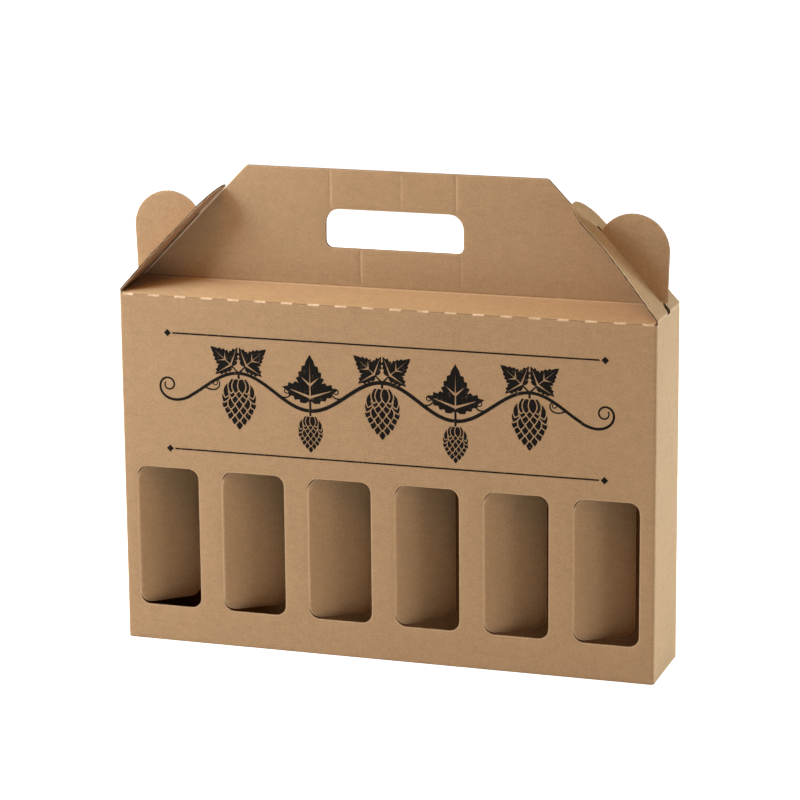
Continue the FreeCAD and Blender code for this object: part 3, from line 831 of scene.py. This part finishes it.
line_colour = mixed(crease_line, share, asked.outputs["Color"], asked.outputs["Line Tone"])
crease_line.links.new(line_colour, given.inputs["Color"])


def placed(tree, group, **values):
    """A node group put into a material, with its own values."""
    node = tree.nodes.new("ShaderNodeGroup")
    node.node_tree = group
    for socket, value in values.items():
        socket = node.inputs[socket.replace("_", " ")]
        if isinstance(value, bpy.types.NodeSocket):
            tree.links.new(value, socket)
        else:
            socket.default_value = (*value, 1) if isinstance(value, tuple) else value
    return node


def new_material(name):
    material = bpy.data.materials.new(name)
    material.use_nodes = True
    return material, material.node_tree, material.node_tree.nodes["Principled BSDF"]


def with_bump(tree, shader, height, distance, strength):
    bump = tree.nodes.new("ShaderNodeBump")
    bump.inputs["Distance"].default_value = distance
    bump.inputs["Strength"].default_value = strength
    tree.links.new(height, bump.inputs["Height"])
    tree.links.new(bump.outputs[0], shader.inputs["Normal"])


kraft_tone = (0.430, 0.272, 0.147)
# The pale rim's tone is the liner's tone raised by these gains: partly a painted highlight.
rim_gain = (1.62, 1.80, 2.1)


def kraft_material(name, tone, lines=(), rim=0.62):
    """The board's liner, with its pale cut rims, partly a painted highlight, and with these lines along its
    creases: painted highlight where pale, painted shade where dark.
    """
    material, tree, shader = new_material(name)
    paper = placed(tree, kraft_paper, Tone=tone)
    rim_tone = tuple(min(1.0, part * gain) for part, gain in zip(tone, rim_gain))
    rimmed = placed(tree, cut_rim, Color=paper.outputs["Color"], Rim_Tone=rim_tone, Amount=rim)
    colour = rimmed.outputs["Color"]
    for values in lines:
        colour = placed(tree, crease_line, Color=colour, **values).outputs["Color"]
    tree.links.new(colour, shader.inputs["Base Color"])
    tree.links.new(paper.outputs["Roughness"], shader.inputs["Roughness"])
    shader.inputs["Specular IOR Level"].default_value = 0.2
    with_bump(tree, shader, paper.outputs["Height"], 0.00017, 0.75)
    return material


def face_board(piece, outside, edge, within):
    """Give a board its three materials: its outside's, its cut edge's and its inside's."""
    for material in (outside, edge, within):
        piece.data.materials.append(material)


# Front and back, the perforated top fold is painted pale between its cuts: rubbed paper and a painted
# highlight where the fold's bulge faces the light. The roof is painted a little paler just below the handle's
# crease, and the crease itself is painted dark: painted shade in its valley.
crease_highlights_and_shade = []
for middle in (0.0, back_middle):
    # The top fold's pale dashes: partly a painted highlight.
    crease_highlights_and_shade.append(dict(
        Line_Tone=(0.74, 0.55, 0.38), Amount=1.0, Level=cut_up, Half_Width=0.0011, Middle=middle,
        Reach=0.2035, Cut_Share=cut_length / cut_pitch,
    ))
    crease_highlights_and_shade.append(dict(
        Line_Tone=(0.62, 0.42, 0.26), Amount=0.6, Level=roof_end - 0.0016, Half_Width=0.0013,
        Middle=middle, Reach=0.1990,
    ))
    # The handle's crease: a dark line of painted shade.
    crease_highlights_and_shade.append(dict(
        Line_Tone=(0.24, 0.135, 0.065), Amount=0.55, Level=roof_end + 0.0002, Half_Width=0.0010,
        Middle=middle, Reach=0.1985,
    ))
kraft_liner = kraft_material("kraft_liner", kraft_tone, crease_highlights_and_shade)

# The cut edge: two thin lines of liner with the wavy fluting between them, and painted shade in its hollows.
flute_thick = 0.00022
flute_edge, asked, given = node_group(
    "flute_edge",
    [("Liner Tone", "Color", (0.6, 0.42, 0.26, 1)), ("Flute Tone", "Color", (0.4, 0.25, 0.14, 1)),
     ("Hollow Tone", "Color", (0.12, 0.07, 0.04, 1))],
    [("Color", "Color"), ("Height", "Float")],
)
calc = sums_in(flute_edge)
place, across, _, depth = on_sheet(flute_edge)
wave = calc("SINE", calc("MULTIPLY", across, 2 * math.pi / flute_pitch))
wave = calc("MULTIPLY_ADD", wave, board / 2 - liner, board / 2)
off_wave = calc("ABSOLUTE", calc("SUBTRACT", depth, wave))
on_wave = calc("SUBTRACT", 1.6, calc("DIVIDE", off_wave, flute_thick), clamp=True)
from_middle = calc("ABSOLUTE", calc("SUBTRACT", depth, board / 2))
on_liner = calc("SUBTRACT", from_middle, board / 2 - liner * 1.15)
on_liner = calc("MULTIPLY", on_liner, 20000.0, clamp=True)
grain = calc("MULTIPLY_ADD", noise_node(flute_edge, place, 1500, 2, 0.6), 0.35, 0.82)
colour = mixed(flute_edge, on_wave, asked.outputs["Hollow Tone"], asked.outputs["Flute Tone"])
colour = mixed(flute_edge, on_liner, colour, asked.outputs["Liner Tone"])
flute_edge.links.new(shaded(flute_edge, colour, grain), given.inputs["Color"])
flute_edge.links.new(calc("ADD", on_liner, calc("MULTIPLY", on_wave, 0.6)), given.inputs["Height"])

cut_edge, tree, shader = new_material("cut_edge")
edge = placed(
    tree, flute_edge,
    Liner_Tone=(0.56, 0.39, 0.24), Flute_Tone=(0.34, 0.22, 0.125), Hollow_Tone=(0.075, 0.045, 0.025),
)
tree.links.new(edge.outputs["Color"], shader.inputs["Base Color"])
shader.inputs["Roughness"].default_value = 0.9
shader.inputs["Specular IOR Level"].default_value = 0.1
with_bump(tree, shader, edge.outputs["Height"], 0.0002, 0.8)

# Inside, where the bottles stand, the liner is painted darker and browner: painted shade for the dim inside
# of the carton. Above the top fold it keeps the outside's tone.
inside_shade_liner = kraft_material("inside_shade_liner", (0.285, 0.140, 0.052))
face_board(carton, kraft_liner, cut_edge, inside_shade_liner)


# ---- the front's print: one pass of matt black ink, straight onto the kraft liner ----
# A running hop bine between two rules: cones and leaves hang from it, and its ends curl up.
# The ink lies a few hundredths of a millimetre thick, and the longest paper fibres show through it.

ink_proud = 0.00006
ink_sunk = 0.00002
bine_level = 0.2005
bine_swing = 0.0125
bine_wave = 0.112
half_wave = bine_wave / 2
bine_end = 0.151
large_cone, small_cone = 0.037, 0.0265
large_leaf, small_leaf = 0.0335, 0.0215
rule_half = 0.164
rule_thick = 0.0012
diamond_out = 0.168
diamond_half = 0.0028

# A leaf, its bare veins and one bract of a cone, as (along, aside) for a length of 1. A cone's rows are
# (how far along it their tips reach, how far aside each bract stands), from the tip back to the stalk.
leaf_half = [
    (0.0, 0.025), (-0.05, 0.11), (-0.04, 0.23), (0.03, 0.25), (0.02, 0.36), (0.10, 0.39), (0.11, 0.50),
    (0.19, 0.51), (0.30, 0.66), (0.33, 0.52), (0.41, 0.50), (0.38, 0.40), (0.44, 0.35), (0.41, 0.27),
    (0.52, 0.33), (0.55, 0.26), (0.66, 0.27), (0.68, 0.20), (0.79, 0.19), (0.81, 0.12), (0.91, 0.09),
]
leaf_shape = leaf_half + [(1.06, 0.0)] + [(along, -aside) for along, aside in leaf_half[::-1]]
leaf_veins = [
    [(0.05, 0.018), (0.90, 0.0), (0.05, -0.018)], [(0.07, 0.022), (0.29, 0.57), (0.13, 0.012)],
    [(0.07, -0.022), (0.13, -0.012), (0.29, -0.57)], [(0.34, 0.012), (0.56, 0.22), (0.41, 0.012)],
    [(0.34, -0.012), (0.41, -0.012), (0.56, -0.22)],
]
bract_shape = [
    (0.0, 0.12), (0.18, 0.21), (0.42, 0.27), (0.62, 0.25), (0.80, 0.17), (0.92, 0.08), (1.0, 0.0),
    (0.92, -0.08), (0.80, -0.17), (0.62, -0.25), (0.42, -0.27), (0.18, -0.21), (0.0, -0.12),
]
bract_rows = [
    (1.00, (0.0,)), (0.90, (-0.09, 0.09)), (0.80, (-0.17, 0.17, 0.0)), (0.69, (-0.22, 0.22, -0.08, 0.08)),
    (0.58, (-0.27, 0.27, -0.15, 0.15, 0.0)), (0.46, (-0.27, 0.27, -0.08, 0.08)),
    (0.35, (-0.24, 0.24, -0.13, 0.13, 0.0)), (0.25, (-0.14, 0.14, -0.06, 0.06)),
]
drawn = []


def set_down(shape, spot, heading, size):
    """A shape's corners, with its foot at this spot and pointing along this heading, in degrees."""
    turn = math.radians(heading)
    along, aside = np.array(shape, float).T * size
    across = spot[0] + along * math.cos(turn) - aside * math.sin(turn)
    return np.c_[across, spot[1] + along * math.sin(turn) + aside * math.cos(turn)]


def draw(shape, spot=(0, 0), heading=0.0, size=1.0, inked=True):
    """Put a shape's outline on the front: inked, or left bare over what is already drawn there."""
    outline = set_down(shape, spot, heading, size).tolist()
    drawn.append(([tuple(corner) for corner in outline], inked))


def draw_line(line, width, last_width):
    line = np.array(line)
    run = np.gradient(line, axis=0)
    run /= np.linalg.norm(run, axis=1)[:, None]
    aside = np.stack([-run[:, 1], run[:, 0]], 1) * np.linspace(width, last_width, len(line))[:, None] / 2
    draw(np.concatenate([line + aside, (line - aside)[::-1]]))


def curl(spot, heading, length, first_bend, last_bend, steps=30):
    """A line that bends more and more tightly, in degrees for each millimetre."""
    line = [spot]
    for step in range(steps):
        line.append(tuple(set_down([(length / steps, 0)], line[-1], heading, 1)[0]))
        bending = first_bend + (last_bend - first_bend) * (step / steps) ** 1.5
        heading += bending * length / steps * 1000
    return np.array(line)


def draw_cone(spot, heading, size):
    for tip, asides in bract_rows:
        for aside in asides:
            at = set_down([(tip - 0.27, aside * 0.86)], spot, heading, size)[0]
            lean = heading + aside * 75
            outline = [(along * 1.16 - 0.06, wide * 1.30) for along, wide in bract_shape]
            draw(outline, at, lean, size * 0.29, inked=False)
            draw(bract_shape, at, lean, size * 0.29)


def draw_leaf(spot, heading, size):
    draw(leaf_shape, spot, heading, size)
    for vein in leaf_veins:
        draw(vein, spot, heading, size, inked=False)


def on_bine(x):
    return bine_level + bine_swing * math.cos(2 * math.pi * x / bine_wave)


# The bine runs from the middle to both ends. Cones hang below it and leaves stand above it.
end_slope = -bine_swing * 2 * math.pi / bine_wave * math.sin(2 * math.pi * bine_end / bine_wave)
end_heading = math.degrees(math.atan(end_slope))
for side in (1, -1):
    draw_line([(side * x, on_bine(x)) for x in np.linspace(0, bine_end, 80)], 0.0030, 0.0023)
for side in (1, -1):
    end_curl = curl((bine_end - 0.0004, on_bine(bine_end)), end_heading, 0.062, 2.0, 19.0, 44)
    draw_line(end_curl * (side, 1), 0.0023, 0.0011)
    for x in (0.0, bine_wave) if side > 0 else (bine_wave,):
        draw_line([(side * x, on_bine(x) - down) for down in (0, 0.004, 0.009)], 0.0018, 0.0018)
        draw_cone((side * x, on_bine(x) - 0.0055), -90, large_cone)
    for x, turn in ((0.0, 40), (bine_wave, 40), (bine_wave, 140)):
        heading = turn if side > 0 else 180 - turn
        lean = 0.004 * math.cos(math.radians(heading))
        draw_line([(side * x + lean * step, on_bine(x) + 0.003 * step) for step in range(3)], 0.0014, 0.0012)
        draw_leaf((side * x + 1.5 * lean, on_bine(x) + 0.0048), heading, small_leaf)
    x, low = side * half_wave, on_bine(half_wave)
    draw_line([(x, low + 0.005 * step) for step in range(3)], 0.0018, 0.0016)
    draw_leaf((x, low + 0.0072), 90, large_leaf)
    draw_line([(x, low - 0.004 * step) for step in range(3)], 0.0016, 0.0016)
    draw_cone((x, low - 0.0048), -90, small_cone)
    for x, heading, way in ((0.027, -38, 1), (0.083, -142, -1), (0.139, -150, -1)):
        tendril = curl((x, on_bine(x)), heading, 0.030, 4 * way, 42 * way)
        draw_line(tendril * (side, 1), 0.0013, 0.0008)
for level in (bine_level + 0.0400, bine_level - 0.0488):
    low, high = level - rule_thick / 2, level + rule_thick / 2
    draw([(-rule_half, low), (rule_half, low), (rule_half, high), (-rule_half, high)])
    for x in (-diamond_out, diamond_out):
        draw([(-1, 0), (0, -1), (1, 0), (0, 1)], (x, level), 0, diamond_half)


def in_ink(middles):
    """Which of these places are inked. The last shape drawn over a place settles it."""
    inked = np.zeros(len(middles), bool)
    for loop, is_inked in drawn:
        low, high = np.min(loop, 0), np.max(loop, 0)
        near = np.flatnonzero(((middles >= low) & (middles <= high)).all(1))
        inked[near[inside(middles[near], [loop])]] = is_inked
    return inked


points, lines = [], []
for loop, _ in drawn:
    add_line(points, lines, loop)
spots, faces, rim = cut_flat(points, lines, in_ink)
count = len(spots)
levels = (-half_depth - ink_proud, -half_depth + ink_sunk)
corners = np.concatenate([np.c_[spots[:, 0], np.full(count, y), spots[:, 1]] for y in levels])
polygons = faces.tolist() + (faces[:, ::-1] + count).tolist()
polygons += np.stack([rim[:, 1], rim[:, 0], rim[:, 0] + count, rim[:, 1] + count], 1).tolist()
front_print = new_piece("front_print", corners, polygons, np.concatenate([np.c_[spots, np.zeros(count)]] * 2))
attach(front_print, "carton")

print_ink, tree, shader = new_material("print_ink")
calc = sums_in(tree)
paper = placed(tree, kraft_paper, Tone=kraft_tone)
ink = placed(
    tree, kraft_paper,
    Tone=(0.0062, 0.0048, 0.0038), Cloud=0.5, Mottle=0.5, Fibre=0.6, Flute_Bands=0.0, Flecks=0.0,
)
missed = calc("SUBTRACT", paper.outputs["Height"], 1.12, clamp=True)
missed = calc("MULTIPLY", calc("MULTIPLY", missed, 5.0, clamp=True), 0.35)
tree.links.new(mixed(tree, missed, ink.outputs["Color"], paper.outputs["Color"]), shader.inputs["Base Color"])
tree.links.new(calc("SUBTRACT", paper.outputs["Roughness"], 0.14), shader.inputs["Roughness"])
shader.inputs["Specular IOR Level"].default_value = 0.12
with_bump(tree, shader, paper.outputs["Height"], 0.00005, 0.5)
front_print.data.materials.append(print_ink)


# ---- the end flaps: tapered tongues that go on from the end panels, over the ears ----
# Each is creased at its foot, leans in against the handle and bows a little outwards. The slit
# down its middle slips over the ear of the back ply.

flap_origin = 0.2714
flap_corner = 0.27149
flap_start = end_top + 0.00002
flap_lean = 50
flap_bow = 6
flap_length = 0.104
crease_turn = 90 - flap_lean
crease_bend = bend(crease_turn, fold_round)
crease_start = flap_corner - fold_round * math.tan(math.radians(crease_turn / 2)) + 0.00002
flap_line = FoldLine(
    (0, flap_start), 90,
    [(crease_start - flap_start, 0), crease_bend, (flap_length, math.radians(flap_bow))],
    flap_start,
)

# One side of a tongue from its foot to its tip, as (half width, height, rounding).
foot_half = 0.0335
wide_half, wide_up = 0.0325, 0.009
tip_half, tip_up = 0.0208, 0.066
flap_sides = [
    (foot_half, 0.0), (wide_half, wide_up),
    (tip_half, tip_up, 0.015), (tip_half, flap_length, tip_half - 0.0003),
]
slot_top = flap_origin + 0.0055
slit_top = flap_origin + 0.0805
slit_round = 0.0017
flap_liner = kraft_material("flap_liner", kraft_tone)
# The flaps' inner face is painted darker and browner: painted shade for their shaded underside.
flap_underside_shade = kraft_material("flap_underside_shade", (0.400, 0.220, 0.118))
for end, sign, side_wear_and_light, tip_wear_and_light in (("left", -1, 1.0, 6.0), ("right", 1, 2.2, 1.0)):
    def fold_flap(across, up, depth, sign=sign):
        profile, normal = flap_line.at(up)
        x = sign * (half_length + profile[:, 0] - depth * normal[:, 0])
        return np.stack([x, sign * across, profile[:, 1] - depth * normal[:, 1]], 1)

    slit_low, slit_high = sorted((sign * slit_front, sign * slit_back))
    slot_low, slot_high = sorted((sign * slot_front, sign * slot_back))
    neck_low, neck_high = sorted((sign * (slit_front - 0.0024), sign * slot_back))
    shape = [
        (-foot_half, flap_start), (slot_low, flap_start), (neck_low, slot_top),
        (slit_low, slot_top + 0.0015), (slit_low, slit_top, slit_round),
        (slit_high, slit_top, slit_round), (slit_high, slot_top + 0.0015),
        (neck_high, slot_top), (slot_high, flap_start), (foot_half, flap_start),
    ]
    shape += [(half, flap_origin + up, *radius) for half, up, *radius in flap_sides]
    shape += [(-half, flap_origin + up, *radius) for half, up, *radius in flap_sides[::-1]]
    rows = crease_lines(crease_start, crease_bend[0], 0.0002 - foot_half, foot_half - 0.0002, 6)
    tip = [(-sign * tip_half, flap_origin + 0.074)] + [
        (-sign * tip_half * math.cos(turn), flap_origin + flap_length - tip_half * (1 - math.sin(turn)))
        for turn in np.linspace(0, math.radians(80), 6)
    ]
    # Each flap's front side and tip get a torn pale rim, strong on the right flap's front side and strongest
    # on the left flap's tip: torn fibres and a painted highlight on a lit front edge.
    side = ((-sign * wide_half, flap_origin + wide_up), (-sign * tip_half, flap_origin + tip_up), side_wear_and_light)
    worn_and_lit_lines = [side] + [(start, stop, tip_wear_and_light) for start, stop in zip(tip, tip[1:])]
    flap = cut_board(f"end_flap_{end}_board", rounded(shape, 12), [], rows, fold_flap, 0.005, worn_and_lit_lines)
    face_board(flap, flap_liner, cut_edge, flap_underside_shade)
    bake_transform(flap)
    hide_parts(f"end_flap_{end}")


# ---- the window flaps: each window's own cut-out, pushed in and still joined along its left side ----
# The board curves from the front into the flap with no sharp crease there, and its cut edges show.

window_turns = (41, 35, 31, 40, 33, 35)
flap_gap = 0.0005
hinge_in = 0.00105
root_bend = 0.0034
root_in = 0.00002
root_clear = 0.010
flap_rounds = (0.0095, 0.0075, 0.0075, 0.0095)
flap_curve = math.radians(3.0)
# The windows' rims get the full pale rim: partly a painted highlight round each window.
window_liner = kraft_material("window_liner", kraft_tone, rim=1.0)
for number, (left, turn) in enumerate(zip(window_left, window_turns), start=1):
    half_turn = math.radians(turn / 2)
    root = hinge_in + board / 2 * math.tan(half_turn) - root_bend * math.tan(half_turn)
    into_flap = bend(turn, root_bend)
    flap_in = FoldLine((left, -half_depth), 0, [(root, 0), into_flap, (0.045, flap_curve)])

    def fold_window_flap(across, up, depth, line=flap_in):
        spots, facing = line.at(across)
        return np.c_[spots - depth[:, None] * facing, up]

    shape = rounded_box(
        root_in, window_width - flap_gap, window_low + flap_gap, window_high - flap_gap, flap_rounds,
    )
    low, high = window_low + root_clear, window_high - root_clear
    rows = crease_lines(root, into_flap[0], low, high, 8, upright=True)
    flap = cut_board(f"window_flap_{number}_board", shape, [], rows, fold_window_flap, 0.006)
    face_board(flap, window_liner, cut_edge, window_liner)
    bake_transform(flap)
    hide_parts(f"window_flap_{number}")


# ---- the stage: a lit white floor and soft lights ----
# The floor glows by itself to the eye, as a light table does. Two broad lights stand on the left, one
# of them high, two hang above, one of them towards the front, two stand low at the right end and a
# weaker one behind, with a little white from all round.

floor_reach = 14.0
floor_level = -0.0002
floor_mesh = bpy.data.meshes.new("floor")
floor_sides = [(x, y, floor_level) for x in (-floor_reach, floor_reach) for y in (-floor_reach, floor_reach)]
floor_mesh.from_pydata(floor_sides, [], [(0, 2, 3, 1)])
floor = bpy.data.objects.new("floor", floor_mesh)
bpy.context.scene.collection.objects.link(floor)
floor_glow, tree, shader = new_material("floor_glow")
shader.inputs["Base Color"].default_value = (0.80, 0.80, 0.80, 1)
shader.inputs["Roughness"].default_value = 0.9
shader.inputs["Specular IOR Level"].default_value = 0.1
shader.inputs["Emission Color"].default_value = (1, 1, 1, 1)
seen = tree.nodes.new("ShaderNodeLightPath")
tree.links.new(seen.outputs["Is Camera Ray"], shader.inputs["Emission Strength"])
floor_mesh.materials.append(floor_glow)


def soft_light(name, spot, target, size, power, colour):
    data = bpy.data.lights.new(name, "AREA")
    data.shape = "RECTANGLE"
    data.size, data.size_y = size
    data.energy = power
    data.color = colour
    light = bpy.data.objects.new(name, data)
    light.location = spot
    light.rotation_mode = "QUATERNION"
    light.rotation_quaternion = (Vector(target) - Vector(spot)).to_track_quat("-Z", "Y")
    light.visible_camera = False
    bpy.context.scene.collection.objects.link(light)


soft_light("light_left", (-1.3, -0.35, 0.5), (-0.2, 0, 0.2), (0.6, 0.6), 5.3, (1.000, 0.755, 0.604))
soft_light("light_left_high", (-1.0, -0.45, 0.9), (-0.15, 0, 0.2), (0.5, 0.5), 19.0, (0.718, 0.874, 1.000))
soft_light("light_above", (-0.2, 0.1, 1.6), (0, 0, 0.2), (1.0, 1.0), 8.0, (1.000, 0.925, 0.537))
soft_light("light_above_front", (-0.3, -0.7, 1.5), (0, 0, 0.2), (0.8, 0.8), 7.2, (1.000, 0.499, 0.166))
soft_light("light_right", (1.0, 0.5, 0.12), (0.2, 0, 0.13), (0.4, 0.3), 10.0, (0.760, 0.915, 1.000))
soft_light("light_right_low", (1.1, -0.25, 0.12), (0.2, 0, 0.13), (0.5, 0.25), 3.0, (1.000, 1.000, 1.000))
soft_light("light_behind", (-0.5, 1.5, 0.55), (0, 0, 0.15), (0.8, 0.8), 6.0, (1.000, 1.000, 1.000))

world = bpy.data.worlds.new("room")
world.use_nodes = True
room = world.node_tree
room.nodes["Background"].inputs["Color"].default_value = (1, 1, 1, 1)
seen = room.nodes.new("ShaderNodeLightPath")
glow = sums_in(room)("MULTIPLY_ADD", seen.outputs["Is Camera Ray"], 0.88, 0.12)
room.links.new(glow, room.nodes["Background"].inputs["Strength"])
bpy.context.scene.world = world
bpy.context.scene.view_settings.view_transform = "Standard"
